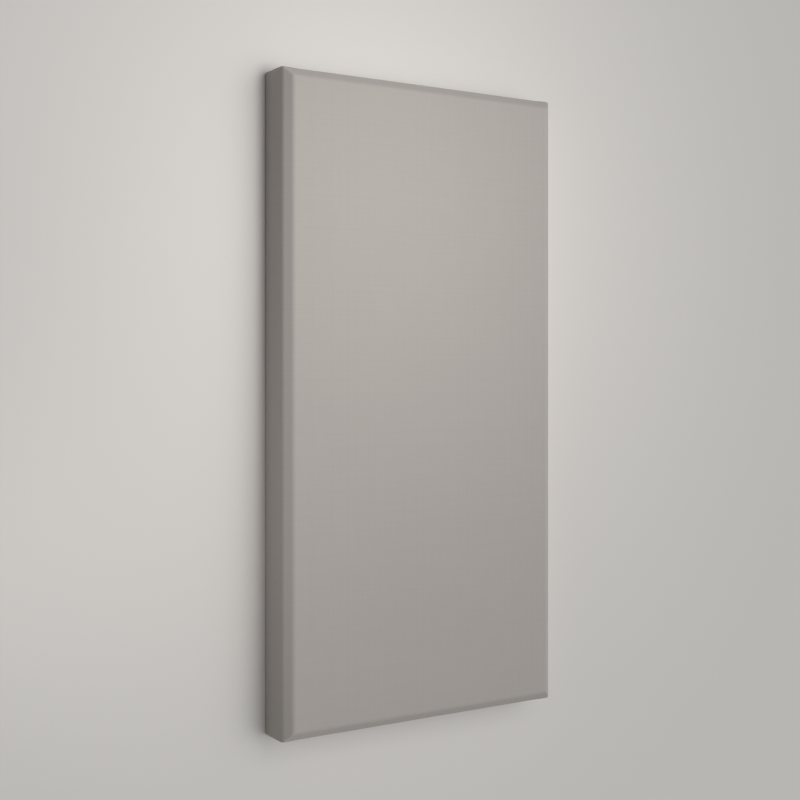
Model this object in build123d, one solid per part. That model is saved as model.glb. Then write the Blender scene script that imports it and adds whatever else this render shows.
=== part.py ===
# A fabric acoustic wall panel, lying on its back.
#
# A rigid glass-wool board has a bevel all round its face. Its back is faced with a thin glass tissue.
# One cloth is stretched over the face, the bevels and the edges, and is turned onto the back, where it
# is glued down as a border whose corners are mitred.
#
# Millimetres. X runs across the width, Y along the length and +Z out of the face. The origin is in the
# middle of the back, on the plane that the turned cloth rests on.

from build123d import *
import math
import os

# The wrapped panel, measured over the cloth.
panel_width = 600.0
panel_length = 1200.0

# The bevel, measured over the cloth to where its planes would meet: across the face, and down the edge.
bevel_width = 16.5
bevel_depth = 14.5

# The board with its tissue. Its hardened edges are rounded: the two ridges of the bevel, the upright
# corners and the edges of the back.
board_thickness = 80.0
board_ridge_radius = 11.0
board_corner_radius = 3.5
board_foot_radius = 1.5

# The layers that are stuck to it.
tissue_thickness = 0.5
cloth_thickness = 1.0

# The border of cloth on the back: its width from the panel's edge, the gap between the two cut edges
# of a mitre, and how much cloth is left whole between a mitre and the panel's corner.
border_width = 45.0
mitre_gap = 1.0
mitre_to_corner = 9.0

# The cloth lies on both sides of the board, so the board is raised by one layer of it.
panel_thickness = board_thickness + 2 * cloth_thickness


def bevel_under(layer):
    """The bevel's two legs on a surface that lies the given depth below the cloth's outer side."""
    slope = math.hypot(bevel_width, bevel_depth)
    across = bevel_width - layer + layer * (slope - bevel_width) / bevel_depth
    down = bevel_depth - layer + layer * (slope - bevel_depth) / bevel_width
    return across, down


def section(span, layer):
    """The panel's cross-section over a span, that depth below the cloth's outer side."""
    across, down = bevel_under(layer)
    half = span / 2 - layer
    bottom = layer
    top = panel_thickness - layer
    outline = Polyline(
        (-half, bottom),
        (half, bottom),
        (half, top - down),
        (half - across, top),
        (across - half, top),
        (-half, top - down),
        close=True,
    )
    rounding = cloth_thickness - layer
    sharp = make_face(outline)
    low_ridges, high_ridges = sharp.vertices().group_by(Axis.Y)[1:]
    eased = fillet(low_ridges + high_ridges, board_ridge_radius + rounding)
    feet = eased.vertices().group_by(Axis.Y)[0]
    return fillet(feet, board_foot_radius + rounding)


def end_share():
    """The part of the plan that lies nearer to the upper end than to a long side, as a tall prism."""
    beyond = panel_width
    apex = (0, (panel_length - panel_width) / 2)
    left = (-panel_width / 2 - beyond, panel_length / 2 + beyond)
    right = (panel_width / 2 + beyond, panel_length / 2 + beyond)
    return extrude(make_face(Polyline(apex, right, left, close=True)), amount=panel_thickness)


def block(layer):
    """The panel's body, that depth below the cloth's outer side.

    The section over the width runs along the long sides and the section over the length runs along the
    ends. They meet in mitres, and the upright corners are then rounded.
    """
    along = extrude(Plane.XZ * section(panel_width, layer), amount=panel_length, both=True)
    across = extrude(Plane.YZ * section(panel_length, layer), amount=panel_width, both=True)
    upper_end = end_share()
    lower_end = mirror(upper_end, Plane.XZ)
    body = along - upper_end - lower_end + (across & upper_end) + (across & lower_end)
    corner_radius = board_corner_radius + cloth_thickness - layer
    plan = RectangleRounded(panel_width - 2 * layer, panel_length - 2 * layer, corner_radius)
    return body & extrude(plan, amount=panel_thickness)


def slab(width, length, bottom, thickness):
    """A plain slab about the Z axis, from the height bottom upwards."""
    return Pos(0, 0, bottom) * Box(width, length, thickness, align=(Align.CENTER, Align.CENTER, Align.MIN))


def mitre_cuts():
    """Four narrow cuts on the diagonals of the back's corners, from near the corner into the window."""
    length = border_width * math.sqrt(2)
    slit = Box(length, mitre_gap, cloth_thickness, align=(Align.MAX, Align.CENTER, Align.MIN))
    cuts = []
    for side_x in (-1, 1):
        for side_y in (-1, 1):
            outer_end = (
                side_x * (panel_width / 2 - mitre_to_corner),
                side_y * (panel_length / 2 - mitre_to_corner),
                0,
            )
            heading = math.degrees(math.atan2(side_y, side_x))
            cuts.append(Pos(*outer_end) * Rot(0, 0, heading) * slit)
    return cuts


def make_cloth_wrap(faced_board):
    """The cloth: one layer over the face, bevels and edges, and the mitred border on the back."""
    window = slab(panel_width - 2 * border_width, panel_length - 2 * border_width, 0, cloth_thickness)
    cloth = block(0) - faced_board - window
    for cut in mitre_cuts():
        cloth -= cut
    return cloth


def main():
    os.makedirs("parts", exist_ok=True)
    faced_board = block(cloth_thickness)
    tissue_layer = slab(panel_width, panel_length, cloth_thickness, tissue_thickness)
    pieces = {
        "cloth_wrap": make_cloth_wrap(faced_board),
        "core_board": faced_board - tissue_layer,
        "back_tissue": faced_board & tissue_layer,
    }
    for name, piece in pieces.items():
        export_step(piece, f"parts/{name}.step")


main()
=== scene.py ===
# A fabric acoustic wall panel on its back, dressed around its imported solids.
#
# One woven cloth is stretched over the face, the bevels and the edges and is glued to the back. At each
# corner the long side's cloth goes a little way round onto the end, and the end's flap lies over it with
# its edge turned in. A glass tissue faces the back. Everything is in metres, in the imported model's frame.

import math

import bmesh
import bpy
import numpy as np
from mathutils import Matrix, Vector


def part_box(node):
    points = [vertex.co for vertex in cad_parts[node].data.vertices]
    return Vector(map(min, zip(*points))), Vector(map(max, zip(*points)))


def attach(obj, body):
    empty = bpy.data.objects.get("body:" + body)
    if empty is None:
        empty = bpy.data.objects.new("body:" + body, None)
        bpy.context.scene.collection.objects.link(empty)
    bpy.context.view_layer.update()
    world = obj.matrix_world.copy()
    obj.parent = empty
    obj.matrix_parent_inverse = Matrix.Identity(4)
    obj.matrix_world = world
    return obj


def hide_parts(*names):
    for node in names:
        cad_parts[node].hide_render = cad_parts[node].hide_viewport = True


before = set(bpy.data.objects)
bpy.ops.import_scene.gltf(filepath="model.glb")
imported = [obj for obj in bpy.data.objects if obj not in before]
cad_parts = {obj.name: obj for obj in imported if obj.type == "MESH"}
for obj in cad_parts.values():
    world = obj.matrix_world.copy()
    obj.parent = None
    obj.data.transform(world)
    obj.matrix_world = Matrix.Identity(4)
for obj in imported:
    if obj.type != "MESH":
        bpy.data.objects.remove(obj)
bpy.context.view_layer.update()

bl_info = {
    "name": "Fabric acoustic wall panel",
    "version": (1, 0, 0),
    "blender": (4, 5, 0),
    "location": "View3D > Sidebar > Acoustic panel",
    "description": "Wraps an acoustic panel's board in cloth, faces its back and lights it",
    "category": "Object",
}

BODY = "root"
CLOTH_MAP = "cloth"
MM = 0.001

# The cloth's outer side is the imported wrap's outer side, so the overall sizes are read from it.
wrap_low, wrap_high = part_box("cloth_wrap")
HALF_WIDTH = wrap_high.x
HALF_LENGTH = wrap_high.y
PANEL_THICKNESS = wrap_high.z
tissue_low, tissue_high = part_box("back_tissue")

# The camera, solved from the photograph's edges, for a picture 800 pixels wide and high.
PICTURE_PIXELS = 800
FOCAL_PIXELS = 1302.4
AXIS_PIXEL_ROW = 367.74
CAMERA_YAW = math.radians(31.995)
CAMERA_PLACE = Vector((-1.3450, 0.0650, 2.1356))

# The soft light from above: where its middle lies, and how closely it gathers there.
SKY_AXIS = Vector((0.45, 0.05, 1.0)).normalized()
SKY_FOCUS = 5

# The width of each soft lamp.
LAMP_SIZE = 0.45


class PanelSizes(bpy.types.PropertyGroup):
    """How the cloth is folded over the board."""

    bevel_width: bpy.props.FloatProperty(
        name="Bevel width",
        description="Bevel across the face",
        default=16.5 * MM,
        unit="LENGTH",
    )
    bevel_depth: bpy.props.FloatProperty(
        name="Bevel depth",
        description="Bevel down the edge",
        default=14.5 * MM,
        unit="LENGTH",
    )
    ridge_radius: bpy.props.FloatProperty(
        name="Ridge radius",
        description="Rounding of the bevel's two ridges",
        default=12 * MM,
        unit="LENGTH",
    )
    corner_radius: bpy.props.FloatProperty(
        name="Corner radius",
        description="Rounding of the upright corners",
        default=4.5 * MM,
        unit="LENGTH",
    )
    foot_radius: bpy.props.FloatProperty(
        name="Foot radius",
        description="Rounding of the back's edges",
        default=2.5 * MM,
        unit="LENGTH",
    )
    cloth_thickness: bpy.props.FloatProperty(
        name="Cloth thickness",
        description="Thickness of one layer",
        default=0.98 * MM,
        unit="LENGTH",
    )
    border_width: bpy.props.FloatProperty(
        name="Border width",
        description="Cloth turned onto the back",
        default=45 * MM,
        unit="LENGTH",
    )
    mitre_gap: bpy.props.FloatProperty(
        name="Mitre gap",
        description="Gap between the cut edges of a mitre",
        default=1.0 * MM,
        unit="LENGTH",
    )
    mitre_to_corner: bpy.props.FloatProperty(
        name="Mitre to corner",
        description="Cloth left whole at a back corner",
        default=9 * MM,
        unit="LENGTH",
    )
    flap_lift: bpy.props.FloatProperty(
        name="Flap lift",
        description="How far a flap's edge stands off",
        default=1.3 * MM,
        unit="LENGTH",
    )
    flap_turn: bpy.props.FloatProperty(
        name="Flap turn",
        description="How far short of a corner's middle a flap ends",
        default=math.radians(24),
        subtype="ANGLE",
    )
    tail_width: bpy.props.FloatProperty(
        name="Tail width",
        description="Long side's cloth under a flap",
        default=12 * MM,
        unit="LENGTH",
    )
    mesh_step: bpy.props.FloatProperty(
        name="Mesh step",
        description="Largest face of the cloth's mesh",
        default=9 * MM,
        unit="LENGTH",
    )


class PanelFinish(bpy.types.PropertyGroup):
    """Colours, and the scale of each pattern."""

    cloth_colour: bpy.props.FloatVectorProperty(
        name="Cloth",
        description="Colour of the cloth",
        default=(0.466, 0.440, 0.417),
        size=3,
        subtype="COLOR",
    )
    tissue_colour: bpy.props.FloatVectorProperty(
        name="Tissue",
        description="Colour of the glass tissue",
        default=(0.62, 0.60, 0.54),
        size=3,
        subtype="COLOR",
    )
    wool_colour: bpy.props.FloatVectorProperty(
        name="Glass wool",
        description="Colour of the board",
        default=(0.70, 0.50, 0.14),
        size=3,
        subtype="COLOR",
    )
    thread_pitch: bpy.props.FloatProperty(
        name="Thread pitch",
        description="Distance between threads",
        default=0.8 * MM,
        unit="LENGTH",
    )
    cut_thread_spacing: bpy.props.FloatProperty(
        name="Cut thread spacing",
        description="Between loose ends at a cut edge",
        default=1.6 * MM,
        unit="LENGTH",
    )
    cut_thread_radius: bpy.props.FloatProperty(
        name="Cut thread radius",
        description="Radius of a loose end",
        default=0.16 * MM,
        unit="LENGTH",
    )


class StageLook(bpy.types.PropertyGroup):
    """The floor and the light."""

    floor_colour: bpy.props.FloatVectorProperty(
        name="Floor",
        description="Colour of the floor",
        default=(0.76, 0.745, 0.72),
        size=3,
        subtype="COLOR",
    )
    sky_strength: bpy.props.FloatProperty(
        name="Sky",
        description="Strength of the soft light from above",
        default=2.29,
    )
    room_strength: bpy.props.FloatProperty(
        name="Room",
        description="Strength of the even light from all round",
        default=0.03,
    )
    upper_lamp_power: bpy.props.FloatProperty(
        name="Upper lamp",
        description="Lamp over the panel's upper half",
        default=1.44,
        unit="POWER",
    )
    upper_lamp_place: bpy.props.FloatVectorProperty(
        name="Upper lamp place",
        description="Where it hangs",
        default=(-0.1, 0.4, 1.2),
        size=3,
        subtype="XYZ",
    )
    side_lamp_power: bpy.props.FloatProperty(
        name="Side lamp",
        description="Low lamp at the panel's left side",
        default=0.23,
        unit="POWER",
    )
    side_lamp_place: bpy.props.FloatVectorProperty(
        name="Side lamp place",
        description="Where it stands",
        default=(-1.2, -0.3, 0.5),
        size=3,
        subtype="XYZ",
    )


class Field:
    """The value at an output socket. Arithmetic on it adds Math nodes to its tree."""

    def __init__(self, graph, socket):
        self.graph = graph
        self.socket = socket

    def __add__(self, other):
        return self.graph.math("ADD", self, other)

    def __sub__(self, other):
        return self.graph.math("SUBTRACT", self, other)

    def __mul__(self, other):
        return self.graph.math("MULTIPLY", self, other)

    def __truediv__(self, other):
        return self.graph.math("DIVIDE", self, other)

    def __pow__(self, other):
        return self.graph.math("POWER", self, other)

    def __rsub__(self, other):
        return self.graph.math("SUBTRACT", other, self)

    def __rtruediv__(self, other):
        return self.graph.math("DIVIDE", other, self)

    def __abs__(self):
        return self.graph.math("ABSOLUTE", self)

    __radd__ = __add__
    __rmul__ = __mul__


class Graph:
    """A node tree that is being made. Every node comes from add."""

    def __init__(self, tree):
        self.tree = tree

    def add(self, kind, settings=None, sockets=None, output=0):
        """Adds a node, sets its settings first, then fills its sockets, and gives back an output.

        A list of fields links them all to one socket. Several outputs are asked for as a tuple.
        """
        node = self.tree.nodes.new(kind)
        for name, value in (settings or {}).items():
            setattr(node, name, value)
        for key, value in (sockets or {}).items():
            for one in value if isinstance(value, list) else [value]:
                if isinstance(one, Field):
                    self.tree.links.new(one.socket, node.inputs[key])
                else:
                    node.inputs[key].default_value = one
        if isinstance(output, tuple):
            return [Field(self, node.outputs[one]) for one in output]
        return Field(self, node.outputs[output]) if len(node.outputs) else node

    def math(self, operation, *values):
        return self.add("ShaderNodeMath", {"operation": operation}, dict(enumerate(values)))

    def vector_math(self, operation, *values, output=0):
        sockets = dict(enumerate(values))
        return self.add("ShaderNodeVectorMath", {"operation": operation}, sockets, output)

    def scaled(self, vector, factor):
        sockets = {"Vector": vector, "Scale": factor}
        return self.add("ShaderNodeVectorMath", {"operation": "SCALE"}, sockets)

    def mix(self, share, first, second):
        """A colour between two, by a share."""
        colours = [value if isinstance(value, Field) else opaque(value) for value in (first, second)]
        return self.add(
            "ShaderNodeMix",
            {"data_type": "RGBA"},
            {"Factor": share, 6: colours[0], 7: colours[1]},
            output=2,
        )

    def smooth_step(self, value, start, end):
        """0 before start, 1 after end, and smooth between."""
        return self.add(
            "ShaderNodeMapRange",
            {"interpolation_type": "SMOOTHSTEP"},
            {"Value": value, "From Min": start, "From Max": end},
        )

    def noise(self, vector, scale, detail=2.0, roughness=0.5, distortion=0.0):
        return self.add(
            "ShaderNodeTexNoise",
            {"noise_dimensions": "3D"},
            {
                "Vector": vector,
                "Scale": scale,
                "Detail": detail,
                "Roughness": roughness,
                "Distortion": distortion,
            },
        )

    def point(self, x, y, z=0.0):
        return self.add("ShaderNodeCombineXYZ", None, {"X": x, "Y": y, "Z": z})

    def parts(self, vector):
        return self.add("ShaderNodeSeparateXYZ", None, {"Vector": vector}, output=("X", "Y", "Z"))


def opaque(colour):
    return tuple(colour[:3]) + (1.0,)


def shaded(colour, factor):
    """The colour made lighter or darker."""
    return tuple(min(channel * factor, 1.0) for channel in colour[:3])


def new_material(name, colour):
    """A material with an empty tree, and its plain colour for the viewport."""
    material = bpy.data.materials.new(name)
    material.use_nodes = True
    material.node_tree.nodes.clear()
    material.diffuse_color = opaque(colour)
    return material, Graph(material.node_tree)


def set_surface(graph, constants, varying):
    """Ends a material in a Principled shader: plain numbers on its sockets, and links to what varies."""
    shader = graph.add("ShaderNodeBsdfPrincipled", None, {**constants, **varying})
    graph.add("ShaderNodeOutputMaterial", None, {"Surface": shader})


def weave_heights(graph, across, along):
    """Plain weave: the number of each thread, and how high the warp and the weft stand.

    A thread is round, and swings over one thread of the other set and under the next.
    """
    crown = 0.55
    swing = 0.45
    warp = graph.math("FLOOR", across)
    weft = graph.math("FLOOR", along)
    warp_round = graph.math("SQRT", 1 - (2 * (across - warp) - 1) ** 2)
    weft_round = graph.math("SQRT", 1 - (2 * (along - weft) - 1) ** 2)
    warp_rise = graph.math("COSINE", (along - 0.5 + warp) * math.pi)
    weft_rise = graph.math("COSINE", (across - 0.5 + weft) * math.pi)
    return warp, weft, warp_round * crown + warp_rise * swing, weft_round * crown - weft_rise * swing


def thread_tone(graph, thread, place, seed):
    """How light a thread is, from 0 to 1: one shade for each thread, which drifts along its length."""
    own = graph.add("ShaderNodeTexWhiteNoise", {"noise_dimensions": "1D"}, {"W": thread + seed})
    drift = graph.noise(graph.point(thread * 1.7, place / 60, seed), 1.0, detail=1.0)
    return own * 0.55 + drift * 0.45


def cloth_material(finish):
    """Woven polyester: threads over and under each other, each with its own tone, slubs and a nap. Painted
    shade darkens the low parts of the weave, and the threads' crowns are painted lighter.
    """
    colour = finish.cloth_colour
    material, graph = new_material("woven cloth", colour)
    flat = graph.add("ShaderNodeUVMap", {"uv_map": CLOTH_MAP})
    u, v, _ = graph.parts(flat)
    across = u / finish.thread_pitch
    along = v / finish.thread_pitch
    warp, weft, warp_height, weft_height = weave_heights(graph, across, along)
    height = graph.math("MAXIMUM", warp_height, weft_height)
    on_top = graph.math("GREATER_THAN", warp_height, weft_height)
    warp_tone = thread_tone(graph, warp, along, 11.0)
    weft_tone = thread_tone(graph, weft, across, 47.0)
    tone = weft_tone + (warp_tone - weft_tone) * on_top
    slub_across = 170.0
    slub_along = 14.0
    cloud = graph.noise(flat, 7.0, detail=3.0)
    warp_slubs = graph.noise(graph.point(u * slub_across, v * slub_along), 1.0)
    weft_slubs = graph.noise(graph.point(u * slub_along, v * slub_across, 5.0), 1.0)
    fuzz = graph.noise(flat, 2600.0, detail=1.0)
    # Each thread's own tone and a fine fuzz, plus painted shade from the weave's height: the hollows
    # between threads are darker and the crowns lighter.
    tone_and_painted_weave_shade = tone * 0.36 + graph.smooth_step(height, 0.1, 1.0) * 0.26 + fuzz * 0.1
    share = tone_and_painted_weave_shade + cloud * 0.12 + warp_slubs * 0.08 + weft_slubs * 0.08
    base = graph.mix(share, shaded(colour, 0.86), shaded(colour, 1.13))
    normal = graph.add(
        "ShaderNodeBump",
        None,
        {"Strength": 0.6, "Distance": 0.00012, "Height": height + fuzz * 0.3 + tone * 0.2},
    )
    set_surface(
        graph,
        {"Roughness": 0.93, "Specular IOR Level": 0.2, "Sheen Weight": 0.12, "Sheen Roughness": 0.45},
        {"Base Color": base, "Normal": normal},
    )
    return material


def thread_material(finish):
    """The cloth's yarn, seen at its loose ends."""
    colour = finish.cloth_colour
    material, graph = new_material("loose thread", colour)
    place = graph.add("ShaderNodeTexCoord", None, None, output="Object")
    strand = graph.noise(place, 1400.0, detail=1.0)
    shade = graph.noise(place, 180.0, detail=2.0)
    base = graph.mix(strand * 0.5 + shade * 0.5, shaded(colour, 0.85), shaded(colour, 1.2))
    normal = graph.add("ShaderNodeBump", None, {"Strength": 0.4, "Distance": 0.00008, "Height": strand})
    set_surface(
        graph,
        {"Roughness": 0.85, "Specular IOR Level": 0.25, "Sheen Weight": 0.2},
        {"Base Color": base, "Normal": normal},
    )
    return material


def fibres(graph, place, scale, turn, width):
    """Thin curved lines, 1 along each fibre: where a drawn-out noise crosses its middle value."""
    turned = graph.add(
        "ShaderNodeMapping",
        None,
        {"Vector": place, "Rotation": (0.0, 0.0, turn), "Scale": (1.0, 0.28, 1.0)},
    )
    field = graph.noise(turned, scale, detail=2.0, distortion=0.6)
    return 1 - graph.smooth_step(abs(field - 0.5), 0.0, width)


def yellower(colour):
    """The tissue's colour between its fibres, with a little of the glass wool's yellow in it."""
    return (colour[0], colour[1] * 0.96, colour[2] * 0.84)


def tissue_material(finish):
    """Glass tissue: a thin random web of pale fibres, through which the board's yellow shows a little."""
    colour = finish.tissue_colour
    material, graph = new_material("glass tissue", colour)
    place = graph.add("ShaderNodeTexCoord", None, None, output="Object")
    web = fibres(graph, place, 60.0, 0.35, 0.012)
    for scale, turn, width in ((85.0, 1.45, 0.014), (120.0, 2.5, 0.016), (170.0, 0.9, 0.02)):
        web = graph.math("MAXIMUM", web, fibres(graph, place, scale, turn, width))
    density = graph.noise(place, 26.0, detail=4.0, roughness=0.6)
    grain = graph.noise(place, 700.0, detail=2.0)
    uneven = graph.mix(graph.smooth_step(density, 0.35, 0.7), finish.wool_colour, colour)
    ground = graph.mix(0.82, uneven, colour)
    fibrous = graph.mix(web * 0.55 + grain * 0.25, shaded(yellower(colour), 0.9), shaded(colour, 1.2))
    base = graph.mix(0.55, ground, fibrous)
    height = web * 0.7 + grain * 0.6
    normal = graph.add("ShaderNodeBump", None, {"Strength": 0.5, "Distance": 0.00015, "Height": height})
    set_surface(
        graph,
        {"Roughness": 0.8, "Specular IOR Level": 0.35},
        {"Base Color": base, "Normal": normal},
    )
    return material


def wool_material(finish):
    """Resin-bonded glass wool: matted yellow fibre in layers that lie parallel to the face."""
    colour = finish.wool_colour
    material, graph = new_material("glass wool", colour)
    place = graph.add("ShaderNodeTexCoord", None, None, output="Object")
    layers = graph.add("ShaderNodeMapping", None, {"Vector": place, "Scale": (1.0, 1.0, 9.0)})
    mat = graph.noise(layers, 55.0, detail=5.0, roughness=0.65)
    fibre = graph.noise(layers, 900.0, detail=2.0, roughness=0.6)
    share = graph.smooth_step(mat * 0.6 + fibre * 0.4, 0.3, 0.7)
    base = graph.mix(share, shaded(colour, 0.62), shaded(colour, 1.25))
    height = mat * 0.5 + fibre * 0.5
    normal = graph.add("ShaderNodeBump", None, {"Strength": 0.8, "Distance": 0.0006, "Height": height})
    set_surface(
        graph,
        {"Specular IOR Level": 0.2},
        {"Base Color": base, "Roughness": 0.85 + fibre * 0.1, "Normal": normal},
    )
    return material


def eased_stops(length, rim, step):
    """Distances from 0 to length: close together at both ends, and up to step apart between."""
    growth = 1.45
    gaps = []
    gap = rim
    while gap < step and 2 * (sum(gaps) + gap) + step < length:
        gaps.append(gap)
        gap *= growth
    middle = length - 2 * sum(gaps)
    count = max(1, math.ceil(middle / step))
    gaps = gaps + [middle / count] * count + gaps[::-1]
    return np.concatenate([[0.0], np.cumsum(gaps)])


def ramp(values, start, end):
    """0 before start, 1 after end, and smooth between."""
    share = np.clip((np.asarray(values, float) - start) / (end - start), 0.0, 1.0)
    return share * share * (3.0 - 2.0 * share)


class EdgeProfile:
    """The cloth's outer side, from the flat of the face over a bevel and an edge to its cut edge.

    It is a row of stops. Each has its inset from the panel's side and its level, the lean of the cloth's
    outward direction above the horizontal, and the run along the cloth from the flat of the face.
    """

    def __init__(self, sizes):
        self.step = sizes.mesh_step
        self.stops = []
        upright = math.pi / 2
        slope = math.atan2(sizes.bevel_width, sizes.bevel_depth)
        ridge_level = PANEL_THICKNESS - sizes.bevel_depth
        segments = 9
        self.turn((sizes.bevel_width, PANEL_THICKNESS), upright, slope, sizes.ridge_radius, segments - 1)
        self.turn((0.0, ridge_level), slope, 0.0, sizes.ridge_radius, segments)
        self.fold_start = len(self.stops) - segments - 1
        self.turn((0.0, 0.0), 0.0, -upright, sizes.foot_radius, segments)
        self.back_start = len(self.stops) - 1
        self.straight((sizes.border_width, 0.0), -upright)
        self.inset, self.level, self.lean = np.array(self.stops).T
        hops = np.hypot(np.diff(self.inset), np.diff(self.level))
        self.run = np.concatenate([[0.0], np.cumsum(hops)])
        self.corner = self.corner_radii(sizes.corner_radius)

    def corner_radii(self, radius):
        """How round the panel's corner is at each stop.

        On the bevel the rounding fades out towards the face. It is less over the board's hip, which is
        sharp, so that the cloth stays outside it. On the back it is what the inset leaves of the radius.
        """
        over_hip = 1.0 - 0.35 * ramp(self.inset, 0.0, 1.2 * MM)
        fading = radius * (1.0 - self.inset / self.inset[0]) * over_hip
        left_over = np.maximum(radius - self.inset, 0.0)
        return np.where(self.lean > 0.0, fading, left_over)

    def turn(self, vertex, lean_from, lean_to, radius, count):
        """Goes straight to a rounding and round it. The vertex is where its two straights would meet."""
        spread = radius / (1.0 + math.cos(lean_from - lean_to))
        inset = vertex[0] + spread * (math.cos(lean_from) + math.cos(lean_to))
        level = vertex[1] - spread * (math.sin(lean_from) + math.sin(lean_to))
        leans = np.linspace(lean_from, lean_to, count + 1)
        points = [(inset - radius * math.cos(lean), level + radius * math.sin(lean)) for lean in leans]
        if self.stops:
            self.straight(points[0], lean_from)
            self.stops.pop()
        self.stops += [(*point, lean) for point, lean in zip(points, leans)]

    def straight(self, end, lean):
        """Goes straight from the last stop to a point."""
        start = self.stops[-1]
        length = math.dist(start[:2], end)
        rim = min(0.7 * MM, length / 8)
        for distance in eased_stops(length, rim, self.step)[1:]:
            share = distance / length
            inset = start[0] + (end[0] - start[0]) * share
            level = start[1] + (end[1] - start[1]) * share
            self.stops.append((inset, level, lean))


def cut_wave(along, seed):
    """How far a hand-cut edge strays from straight."""
    slow = 0.45 * MM * np.sin(along * 31.0 + seed * 2.1)
    quick = 0.2 * MM * np.sin(along * 117.0 + seed * 5.3)
    return slow + quick


class ClothBuilder:
    """Collects the patches of the cloth and joins them into one mesh.

    A patch is a grid: a row for each stop of the profile and a column for each place along a side. It is
    made for the side that faces +X, or for the end that faces +Y, and then put on its own side.
    """

    def __init__(self, sizes):
        self.sizes = sizes
        self.profile = EdgeProfile(sizes)
        self.mesh = bmesh.new()
        self.map = self.mesh.loops.layers.uv.new(CLOTH_MAP)
        self.face_half_width = HALF_WIDTH - self.profile.inset[0]
        self.face_half_length = HALF_LENGTH - self.profile.inset[0]
        self.width_shares = self.shares(self.face_half_width)
        self.length_shares = self.shares(self.face_half_length)
        opened = ramp(self.profile.inset, sizes.mitre_to_corner, sizes.mitre_to_corner + 3 * MM)
        on_back = np.isclose(self.profile.lean, -math.pi / 2)
        self.mitre = on_back * opened * sizes.mitre_gap / math.sqrt(2)

    def shares(self, half):
        """Places along a side, from -1 to 1."""
        return eased_stops(2 * half, 0.7 * MM, self.sizes.mesh_step) / half - 1.0

    def patch(self, points, flat):
        """Adds a grid of points, with their place on the flat cloth."""
        rows, columns = points.shape[:2]
        corners = [[self.mesh.verts.new(point) for point in row] for row in points]
        for row in range(rows - 1):
            for column in range(columns - 1):
                cells = ((row, column), (row, column + 1), (row + 1, column + 1), (row + 1, column))
                face = self.mesh.faces.new([corners[i][j] for i, j in cells])
                for loop, (i, j) in zip(face.loops, cells):
                    loop[self.map].uv = flat[i, j]

    def place(self, end, side, across, along, level, flat_across, flat_along):
        """Puts a patch on a long side or an end, on the positive or the negative one."""
        across, along, level, flat_across, flat_along = np.broadcast_arrays(
            across * side, along, level, flat_across * side, flat_along
        )
        if end:
            across, along, flat_across, flat_along = along, across, flat_along, flat_across
        self.patch(np.stack([across, along, level], -1), np.stack([flat_across, flat_along], -1))

    def halves(self, end):
        """Half the panel across and along a long side or an end, and half the flat face across it."""
        if end:
            return HALF_LENGTH, HALF_WIDTH, self.face_half_length
        return HALF_WIDTH, HALF_LENGTH, self.face_half_width

    def add_face(self):
        """The flat of the face."""
        columns = self.width_shares * self.face_half_width
        rows = self.length_shares * self.face_half_length
        x, y = np.meshgrid(columns, rows)
        self.patch(np.stack([x, y, np.full_like(x, PANEL_THICKNESS)], -1), np.stack([x, y], -1))

    def rows(self, chosen):
        """The profile's chosen rows as columns of numbers: inset, level, lean, corner, mitre and run."""
        profile = self.profile
        values = (profile.inset, profile.level, profile.lean, profile.corner, self.mitre, profile.run)
        return [value[chosen, None] for value in values]

    def add_straight(self, end, side, chosen, along_of, raised_of, seed=None):
        """A patch on a flat side. Functions give its columns, from where the flat ends, and their rise."""
        half_across, half_along, face_across = self.halves(end)
        inset, level, lean, corner, mitre, run = self.rows(chosen)
        limit = half_along - inset - corner - mitre
        along = along_of(limit)
        raised = raised_of(limit - np.abs(along))
        strayed = 0.0
        if seed is not None:
            last = ramp(run, self.profile.run[self.profile.back_start], self.profile.run[-1])
            strayed = last * cut_wave(along, seed)
        self.place(
            end,
            side,
            half_across - inset - strayed + raised * np.cos(lean),
            along,
            np.maximum(level + raised * np.sin(lean), 0.0),
            face_across + run,
            along,
        )

    def add_corner(self, end, side, upper, chosen, turn, raised):
        """A patch round half a corner: how far each column has turned, and how far it rises."""
        half_across, half_along, face_across = self.halves(end)
        inset, level, lean, corner, mitre, run = self.rows(chosen)
        reach = corner + raised * np.cos(lean)
        limit = half_along - inset - corner - mitre
        self.place(
            end,
            side,
            half_across - inset - corner + reach * np.cos(turn),
            (limit + reach * np.sin(turn)) * upper,
            np.maximum(level + raised * np.sin(lean), 0.0),
            face_across + run,
            (limit + corner * turn) * upper,
        )

    def add_long_sides(self):
        """The long sides, and at each corner the tail that goes on under the end's flap."""
        every = slice(None)
        under = slice(self.profile.fold_start + 1, self.profile.back_start)
        half_turn = np.linspace(0.0, math.pi / 4, 5)[None, :]
        sunk = -0.15 * MM
        tail = np.linspace(0.0, self.sizes.tail_width, 5)[None, :]
        for side in (-1, 1):
            self.add_straight(
                False,
                side,
                every,
                lambda limit: self.length_shares * limit,
                lambda edge: 0.0 * edge,
                side,
            )
            for upper in (-1, 1):
                self.add_corner(False, side, upper, every, half_turn, 0.0)
                fading = ramp(half_turn, 0.0, math.pi / 8) * sunk
                self.add_corner(False, side, upper, under, half_turn + math.pi / 4, fading)
                self.add_straight(
                    True,
                    upper,
                    under,
                    lambda limit: (limit - tail) * side,
                    lambda edge: sunk + 0.0 * edge,
                )

    def add_ends(self):
        """The ends. Down from the bevel their cloth is a flap that lies over the long sides' tails."""
        sizes = self.sizes
        profile = self.profile
        every = slice(None)
        loose = slice(profile.fold_start + 2, profile.back_start - 2)
        opening = 14 * MM
        ridge_run = profile.run[profile.fold_start]
        opened = ramp(profile.run, ridge_run, ridge_run + opening)
        opened = (opened * np.where(profile.lean < 0.0, np.cos(profile.lean) ** 2, 1.0))[:, None]
        lift = sizes.flap_lift * opened
        reach = math.pi / 4 - sizes.flap_turn * opened
        settling = 16 * MM

        def rise(edge):
            """How far the flap stands off, by how far in from its edge."""
            return lift * (1.0 - ramp(edge, sizes.tail_width, sizes.tail_width + settling))

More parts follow.
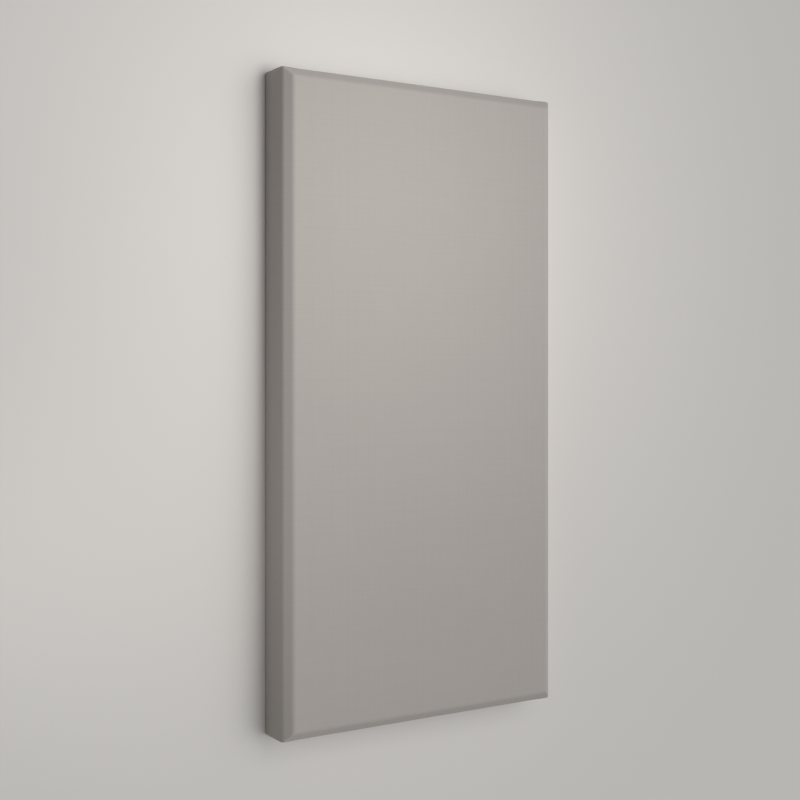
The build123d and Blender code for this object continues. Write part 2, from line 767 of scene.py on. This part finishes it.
        lip_radius = 0.5 * lift
        lip_angle = 1.7
        round_lip = np.linspace(0.0, lip_angle, 6)[None, :]
        beyond = lip_radius * np.sin(round_lip)
        height = lift - lip_radius * (1.0 - np.cos(round_lip))
        beyond = np.concatenate([beyond, beyond[:, -1:]], axis=1)[loose]
        height = np.concatenate([height, -0.3 * lip_radius], axis=1)[loose]
        lip_turn = reach[loose] + beyond / np.maximum(profile.corner[loose, None], 1 * MM)
        columns = np.linspace(0.0, 1.0, 5)[None, :]
        for side in (-1, 1):
            self.add_straight(True, side, every, lambda limit: self.width_shares * limit, rise, side + 4)
            for upper in (-1, 1):
                self.add_corner(True, side, upper, every, columns * reach, lift)
                self.add_corner(True, side, upper, loose, lip_turn, height)

    def finished(self, name):
        """The patches joined into one mesh whose faces point outwards."""
        bmesh.ops.remove_doubles(self.mesh, verts=self.mesh.verts, dist=0.004 * MM)
        bmesh.ops.dissolve_degenerate(self.mesh, edges=self.mesh.edges, dist=0.002 * MM)
        bmesh.ops.recalc_face_normals(self.mesh, faces=self.mesh.faces)
        top = max(self.mesh.faces, key=lambda face: face.calc_center_median().z)
        if top.normal.z < 0:
            bmesh.ops.reverse_faces(self.mesh, faces=self.mesh.faces)
        data = bpy.data.meshes.new(name)
        self.mesh.to_mesh(data)
        self.mesh.free()
        return data


def link(name, data):
    """A new object at the origin."""
    made = bpy.data.objects.new(name, data)
    bpy.context.scene.collection.objects.link(made)
    return made


def new_geometry_tree(name, numbers):
    """A Geometry Nodes tree with its geometry and its named sizes as inputs."""
    tree = bpy.data.node_groups.new(name, "GeometryNodeTree")
    tree.interface.new_socket("Geometry", in_out="INPUT", socket_type="NodeSocketGeometry")
    for label in numbers:
        tree.interface.new_socket(label, in_out="INPUT", socket_type="NodeSocketFloat")
    tree.interface.new_socket("Geometry", in_out="OUTPUT", socket_type="NodeSocketGeometry")
    graph = Graph(tree)
    names = ("Geometry", *numbers)
    given = graph.add("NodeGroupInput", None, None, output=names)
    return graph, dict(zip(names, given))


def end_geometry_tree(graph, geometry, material):
    """Ends a tree in real faces that carry the material."""
    real = graph.add("GeometryNodeRealizeInstances", None, {"Geometry": geometry})
    coated = graph.add("GeometryNodeSetMaterial", None, {"Geometry": real, "Material": material})
    graph.add("NodeGroupOutput", None, {"Geometry": coated})


def run_tree(piece, graph, numbers):
    """Puts the tree on a piece as a modifier and sets its inputs."""
    modifier = piece.modifiers.new(graph.tree.name, "NODES")
    modifier.node_group = graph.tree
    for item in graph.tree.interface.items_tree:
        if item.in_out == "INPUT" and item.name in numbers:
            modifier[item.identifier] = numbers[item.name]


def settle(piece, crease=50.0):
    """Turns a piece and its modifiers into one plain mesh, smooth but for its creases."""
    evaluated = piece.evaluated_get(bpy.context.evaluated_depsgraph_get())
    made = bpy.data.meshes.new_from_object(evaluated)
    piece.modifiers.clear()
    piece.data = made
    made.name = piece.name
    made.polygons.foreach_set("use_smooth", np.ones(len(made.polygons), bool))
    made.set_sharp_from_angle(angle=math.radians(crease))


def relief_tree(material):
    """Lets a taut cloth follow the slight unevenness of its board. The glued back stays flat."""
    graph, given = new_geometry_tree("cloth relief", ("Height", "Scale"))
    place = graph.add("GeometryNodeInputPosition")
    normal = graph.add("GeometryNodeInputNormal")
    uneven = graph.noise(place, given["Scale"], detail=2.0) - 0.5
    facing = graph.parts(normal)[2]
    upper = graph.smooth_step(facing, -0.5, -0.05)
    offset = graph.scaled(normal, uneven * upper * given["Height"] * 2)
    moved = graph.add("GeometryNodeSetPosition", None, {"Geometry": given["Geometry"], "Offset": offset})
    end_geometry_tree(graph, moved, material)
    return graph


def cut_thread_tree(material):
    """Sets loose thread ends along a cut edge: straight, or curled to one side or the other."""
    graph, given = new_geometry_tree("cut threads", ("Spacing", "Length", "Radius"))
    edge = graph.add("GeometryNodeMeshToCurve", None, {"Mesh": given["Geometry"]})
    ends = graph.add(
        "GeometryNodeResampleCurve", {"mode": "LENGTH"}, {"Curve": edge, "Length": given["Spacing"]}
    )
    round_section = graph.add(
        "GeometryNodeCurvePrimitiveCircle",
        {"mode": "RADIUS"},
        {"Resolution": 4, "Radius": given["Radius"]},
    )
    kinds = []
    for bend in (-0.35, 0.0, 0.4):
        strand = graph.add(
            "GeometryNodeCurveQuadraticBezier",
            None,
            {
                "Resolution": 4,
                "Start": graph.point(given["Length"] * -0.5, 0.0),
                "Middle": graph.point(given["Length"] * 0.4, given["Length"] * bend * 0.15),
                "End": graph.point(given["Length"], given["Length"] * bend),
            },
        )
        solid = graph.add(
            "GeometryNodeCurveToMesh",
            None,
            {"Curve": strand, "Profile Curve": round_section, "Fill Caps": True},
        )
        kinds.append(graph.add("GeometryNodeGeometryToInstance", None, {"Geometry": solid}))
    choice = graph.add("GeometryNodeJoinGeometry", None, {"Geometry": kinds[::-1]})
    tangent = graph.add("GeometryNodeInputTangent")
    inwards = graph.vector_math("CROSS_PRODUCT", (0.0, 0.0, 1.0), tangent)

    def chance(seed, low, high, kind="FLOAT"):
        """A random number for each thread, the same in every run."""
        first, output = {"FLOAT": (2, 1), "INT": (4, 2)}[kind]
        sockets = {first: low, first + 1: high, "Seed": seed}
        return graph.add("FunctionNodeRandomValue", {"data_type": kind}, sockets, output)

    sideways = graph.scaled(tangent, chance(3, -0.5, 0.5))
    heading = graph.vector_math("ADD", inwards, sideways)
    rotation = graph.add("FunctionNodeAlignRotationToVector", {"axis": "X"}, {"Vector": heading})
    size = chance(8, 0.45, 1.5)
    placed = graph.add(
        "GeometryNodeInstanceOnPoints",
        None,
        {
            "Points": ends,
            "Instance": choice,
            "Pick Instance": True,
            "Instance Index": chance(5, 0, 2, "INT"),
            "Rotation": rotation,
            "Scale": graph.point(size, size, 1.0),
        },
    )
    end_geometry_tree(graph, placed, material)
    return graph


def tissue_tree(material):
    """A sheet that faces down, with the soft unevenness of a glued non-woven. Height is its depth."""
    graph, given = new_geometry_tree("tissue sheet", ("Width", "Length", "Level", "Height", "Step"))
    columns = graph.math("CEIL", given["Width"] / given["Step"])
    rows = graph.math("CEIL", given["Length"] / given["Step"])
    grid = graph.add(
        "GeometryNodeMeshGrid",
        None,
        {"Size X": given["Width"], "Size Y": given["Length"], "Vertices X": columns, "Vertices Y": rows},
    )
    place = graph.add("GeometryNodeInputPosition")
    soft = graph.noise(place, 24.0, detail=2.0) * 0.75 + graph.noise(place, 140.0, detail=1.0) * 0.25
    level = given["Level"] + graph.smooth_step(soft, 0.3, 0.7) * given["Height"]
    offset = graph.point(0.0, 0.0, level)
    moved = graph.add("GeometryNodeSetPosition", None, {"Geometry": grid, "Offset": offset})
    turned = graph.add("GeometryNodeFlipFaces", None, {"Mesh": moved})
    end_geometry_tree(graph, turned, material)
    return graph


def cut_edge_lines(sizes):
    """Four lines along the cut edges of the border, each running with the window on its left."""
    spacing = 4 * MM
    points = []
    edges = []
    for end, side in ((False, 1), (True, 1), (False, -1), (True, -1)):
        half_across, half_along = (HALF_LENGTH, HALF_WIDTH) if end else (HALF_WIDTH, HALF_LENGTH)
        reach = half_along - sizes.border_width - sizes.mitre_gap
        along = np.arange(-reach, reach, spacing)
        along = along if (side > 0) != end else along[::-1]
        strayed = sizes.border_width + cut_wave(along, side + (4 if end else 0))
        across = (half_across - strayed) * side
        start = len(points)
        for one_across, one_along in zip(across, along):
            x, y = (one_along, one_across) if end else (one_across, one_along)
            points.append((x, y, 0.5 * sizes.cloth_thickness))
        edges += [(start + i, start + i + 1) for i in range(len(along) - 1)]
    data = bpy.data.meshes.new("cut edges")
    data.from_pydata(points, edges, [])
    return data


class ACOUSTIC_OT_wrap_cloth(bpy.types.Operator):
    """Wrap the board in its cloth"""

    bl_idname = "acoustic.wrap_cloth"
    bl_label = "Wrap the cloth"

    def execute(self, context):
        sizes = context.scene.acoustic_sizes
        finish = context.scene.acoustic_finish
        builder = ClothBuilder(sizes)
        builder.add_face()
        builder.add_long_sides()
        builder.add_ends()
        cloth = link("cloth", builder.finished("cloth"))
        run_tree(cloth, relief_tree(cloth_material(finish)), {"Height": 0.1 * MM, "Scale": 14.0})
        solid = cloth.modifiers.new("thickness", "SOLIDIFY")
        solid.thickness = sizes.cloth_thickness
        solid.offset = -1.0
        settle(cloth)
        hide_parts("cloth_wrap")
        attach(cloth, BODY)
        threads = link("cloth_cut_threads", cut_edge_lines(sizes))
        run_tree(
            threads,
            cut_thread_tree(thread_material(finish)),
            {
                "Spacing": finish.cut_thread_spacing,
                "Length": 1.3 * MM,
                "Radius": finish.cut_thread_radius,
            },
        )
        settle(threads)
        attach(threads, BODY)
        return {"FINISHED"}


class ACOUSTIC_OT_face_back(bpy.types.Operator):
    """Glue the glass tissue to the board's back"""

    bl_idname = "acoustic.face_back"
    bl_label = "Face the back"

    def execute(self, context):
        sizes = context.scene.acoustic_sizes
        finish = context.scene.acoustic_finish
        width = tissue_high.x - tissue_low.x
        length = tissue_high.y - tissue_low.y
        tissue = link("tissue", bpy.data.meshes.new("tissue"))
        run_tree(
            tissue,
            tissue_tree(tissue_material(finish)),
            {
                "Width": width,
                "Length": length,
                "Level": tissue_low.z,
                "Height": 0.18 * MM,
                "Step": 7 * MM,
            },
        )
        solid = tissue.modifiers.new("thickness", "SOLIDIFY")
        solid.thickness = 0.3 * MM
        solid.offset = -1.0
        settle(tissue)
        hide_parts("back_tissue")
        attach(tissue, BODY)
        return {"FINISHED"}


class ACOUSTIC_OT_finish_board(bpy.types.Operator):
    """Give the board its glass wool"""

    bl_idname = "acoustic.finish_board"
    bl_label = "Finish the board"

    def execute(self, context):
        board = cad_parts["core_board"]
        wool = wool_material(context.scene.acoustic_finish)
        for slot in board.material_slots:
            slot.material = wool
        return {"FINISHED"}


def make_floor(look):
    """A wide, plain, pale floor."""
    half = 14.0
    material, graph = new_material("floor", look.floor_colour)
    colour = opaque(look.floor_colour)
    set_surface(graph, {"Base Color": colour, "Roughness": 0.9, "Specular IOR Level": 0.1}, {})
    data = bpy.data.meshes.new("floor")
    corners = [(-half, -half, 0.0), (half, -half, 0.0), (half, half, 0.0), (-half, half, 0.0)]
    data.from_pydata(corners, [], [(0, 1, 2, 3)])
    data.materials.append(material)
    floor = link("floor", data)


def make_sky(look):
    """Soft light from above, with its middle a little to the right. The camera sees a pale background.

    A light that falls off as a power n of the cosine gives a level floor 2 / (n + 2) of its strength. The
    background has that strength, so it is as light as the far floor.
    """
    world = bpy.data.worlds.new("studio")
    world.use_nodes = True
    world.node_tree.nodes.clear()
    graph = Graph(world.node_tree)
    direction = graph.add("ShaderNodeTexCoord", None, None, output="Generated")
    aim = graph.vector_math("DOT_PRODUCT", direction, tuple(SKY_AXIS), output="Value")
    lobe = graph.math("MAXIMUM", aim, 0.0) ** SKY_FOCUS
    strength = lobe * look.sky_strength + look.room_strength
    nearly_white = (1.0, 0.99, 0.985, 1.0)
    light = graph.add("ShaderNodeBackground", None, {"Color": nearly_white, "Strength": strength})
    far_floor = look.sky_strength * SKY_AXIS.z * 2 / (SKY_FOCUS + 2) + look.room_strength
    floor_colour = opaque(look.floor_colour)
    pale = graph.add("ShaderNodeBackground", None, {"Color": floor_colour, "Strength": far_floor})
    seen_as = ("Is Camera Ray", "Is Glossy Ray", "Is Transmission Ray")
    camera, glossy, through = graph.add("ShaderNodeLightPath", None, None, output=seen_as)
    seen = graph.math("MINIMUM", camera + glossy + through, 1.0)
    both = graph.add("ShaderNodeMixShader", None, {0: seen, 1: light, 2: pale})
    graph.add("ShaderNodeOutputWorld", None, {"Surface": both})
    bpy.context.scene.world = world


def make_lamp(name, place, target, power, spread):
    """A soft lamp that faces a point."""
    data = bpy.data.lights.new(name, "AREA")
    data.shape = "DISK"
    data.size = LAMP_SIZE
    data.spread = spread
    data.energy = power
    data.color = (1.0, 0.975, 0.94)
    lamp = link(name, data)
    lamp.location = place
    lamp.rotation_mode = "QUATERNION"
    lamp.rotation_quaternion = (place - target).to_track_quat("Z", "Y")
    lamp.visible_camera = False


def make_lamps(look):
    """One lamp over the upper half of the face, and a weak low one that lights the left side."""
    upper_place = Vector(look.upper_lamp_place)
    below = Vector((upper_place.x, upper_place.y, 0.0))
    make_lamp("upper lamp", upper_place, below, look.upper_lamp_power, math.radians(100))
    side_place = Vector(look.side_lamp_place)
    left_side = Vector((-HALF_WIDTH, -0.2, PANEL_THICKNESS / 2))
    make_lamp("side lamp", side_place, left_side, look.side_lamp_power, math.radians(80))


def make_camera():
    """The photograph's camera, to the left of the face. It looks down, because the panel lies flat."""
    data = bpy.data.cameras.new("camera")
    data.sensor_width = 36.0
    data.lens = data.sensor_width * FOCAL_PIXELS / PICTURE_PIXELS
    data.shift_y = (AXIS_PIXEL_ROW - PICTURE_PIXELS / 2) / PICTURE_PIXELS
    data.clip_start = 0.05
    camera = link("camera", data)
    camera.matrix_world = Matrix.Translation(CAMERA_PLACE) @ Matrix.Rotation(-CAMERA_YAW, 4, "Y")
    bpy.context.scene.camera = camera


class ACOUSTIC_OT_set_stage(bpy.types.Operator):
    """Lay the floor, light the panel and place the camera"""

    bl_idname = "acoustic.set_stage"
    bl_label = "Set the stage"

    def execute(self, context):
        look = context.scene.acoustic_stage
        make_floor(look)
        make_sky(look)
        make_lamps(look)
        make_camera()
        context.scene.view_settings.view_transform = "Standard"
        return {"FINISHED"}


class ACOUSTIC_PT_panel(bpy.types.Panel):
    """Sizes, colours and steps of the acoustic panel"""

    bl_label = "Acoustic panel"
    bl_space_type = "VIEW_3D"
    bl_region_type = "UI"
    bl_category = "Acoustic panel"

    def draw(self, context):
        for group in ("acoustic_sizes", "acoustic_finish", "acoustic_stage"):
            values = getattr(context.scene, group)
            box = self.layout.box()
            for name in values.__annotations__:
                box.prop(values, name)
        for operator in OPERATORS:
            self.layout.operator(operator.bl_idname)


GROUPS = {"acoustic_sizes": PanelSizes, "acoustic_finish": PanelFinish, "acoustic_stage": StageLook}
OPERATORS = (
    ACOUSTIC_OT_set_stage,
    ACOUSTIC_OT_wrap_cloth,
    ACOUSTIC_OT_face_back,
    ACOUSTIC_OT_finish_board,
)


def register():
    for group in GROUPS.values():
        bpy.utils.register_class(group)
    for name, group in GROUPS.items():
        setattr(bpy.types.Scene, name, bpy.props.PointerProperty(type=group))
    for operator in OPERATORS:
        bpy.utils.register_class(operator)
    bpy.utils.register_class(ACOUSTIC_PT_panel)


def unregister():
    bpy.utils.unregister_class(ACOUSTIC_PT_panel)
    for operator in reversed(OPERATORS):
        bpy.utils.unregister_class(operator)
    for name in GROUPS:
        delattr(bpy.types.Scene, name)
    for group in reversed(GROUPS.values()):
        bpy.utils.unregister_class(group)


def main():
    register()
    bpy.ops.acoustic.set_stage()
    bpy.ops.acoustic.wrap_cloth()
    bpy.ops.acoustic.face_back()
    bpy.ops.acoustic.finish_board()


if __name__ == "__main__":
    main()
